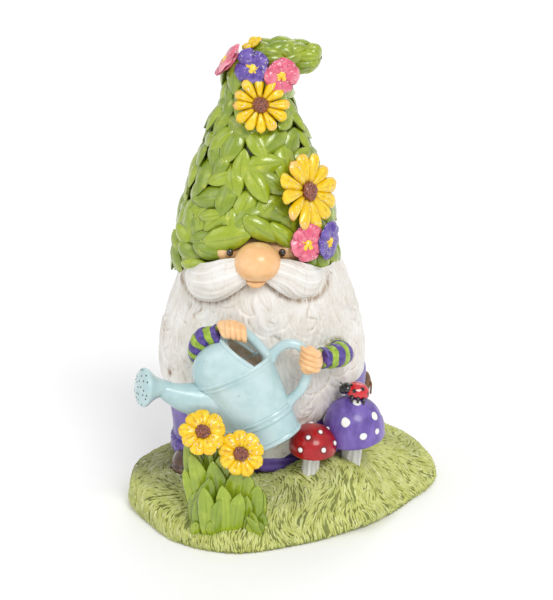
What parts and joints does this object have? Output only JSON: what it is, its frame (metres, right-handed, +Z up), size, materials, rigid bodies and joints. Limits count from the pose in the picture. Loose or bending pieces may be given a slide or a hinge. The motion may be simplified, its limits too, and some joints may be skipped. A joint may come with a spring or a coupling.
{
  "type": "garden gnome",
  "caption": "Bearded garden gnome in a leafy flowered hat, pouring from a watering can on a grass mound with mushrooms and a flower bed.",
  "frame": {"origin": "middle of the underside's bounding rectangle, on the surface that the mound stands on", "axes": "+Z up; the gnome faces -Y, so its left hand is towards +X"},
  "size_m": [0.1832, 0.1614, 0.2819],
  "materials": {
    "grass_green": "matte, hand-painted and antiqued",
    "coat_purple": "satin paint",
    "boot_brown": "gloss paint",
    "beard_white": "matte, antiqued brown in the grooves",
    "skin": "satin paint",
    "eye_dark": "gloss paint",
    "hat_green": "satin paint, antiqued",
    "leaf_green": "satin paint, antiqued",
    "petal_yellow": "satin paint with white flecks",
    "flower_centre_brown": "gloss paint",
    "petal_purple": "satin paint",
    "petal_pink": "satin paint",
    "pansy_yellow": "satin paint",
    "sleeve_stripes": "satin paint in purple and lime stripes",
    "can_aqua": "satin paint",
    "bed_green": "satin paint",
    "cap_red": "gloss paint with white dots",
    "cap_purple": "satin paint with white dots",
    "stalk_grey": "matte, antiqued",
    "ladybird_red": "gloss paint with black spots",
    "ladybird_black": "gloss paint"
  },
  "bodies": {
    "root": {"ground_base": "grass_green", "coat_body": "coat_purple", "coat_hem": "coat_purple", "boot_right": "boot_brown", "boot_left": "boot_brown", "hip_pouch": "boot_brown", "beard": "beard_white", "moustache_right": "beard_white", "moustache_left": "beard_white", "head": "skin", "nose": "skin", "lower_lip": "skin", "hand_right": "skin", "hand_left": "skin", "eyes": "eye_dark", "hat_cone": "hat_green", "hat_tip": "hat_green", "hat_brim_leaves": "leaf_green", "hat_lower_leaves": "leaf_green", "hat_middle_leaves": "leaf_green", "hat_upper_leaves": "leaf_green", "hat_tip_leaves": "leaf_green", "sunflower_upper_petals": "petal_yellow", "sunflower_side_petals": "petal_yellow", "blossom_yellow_crown": "petal_yellow", "bed_flower_high_petals": "petal_yellow", "bed_flower_low_petals": "petal_yellow", "sunflower_upper_centre": "flower_centre_brown", "sunflower_side_centre": "flower_centre_brown", "bed_flower_high_centre": "flower_centre_brown", "bed_flower_low_centre": "flower_centre_brown", "pansy_purple_top": "petal_purple", "pansy_purple_brim": "petal_purple", "pansy_pink_top": "petal_pink", "blossom_pink_side": "petal_pink", "pansy_pink_brim": "petal_pink", "pansy_centres": "pansy_yellow", "sleeve_right": "sleeve_stripes", "sleeve_left": "sleeve_stripes", "can_body": "can_aqua", "can_hood": "can_aqua", "can_spout": "can_aqua", "can_rose": "can_aqua", "can_top_handle": "can_aqua", "can_side_handle": "can_aqua", "bed_leaves": "bed_green", "bed_stems": "bed_green", "red_mushroom_cap": "cap_red", "purple_mushroom_cap": "cap_purple", "red_mushroom_stalk": "stalk_grey", "purple_mushroom_stalk": "stalk_grey", "ladybird_shell": "ladybird_red", "ladybird_head": "ladybird_black"}
  },
  "joints": []
}
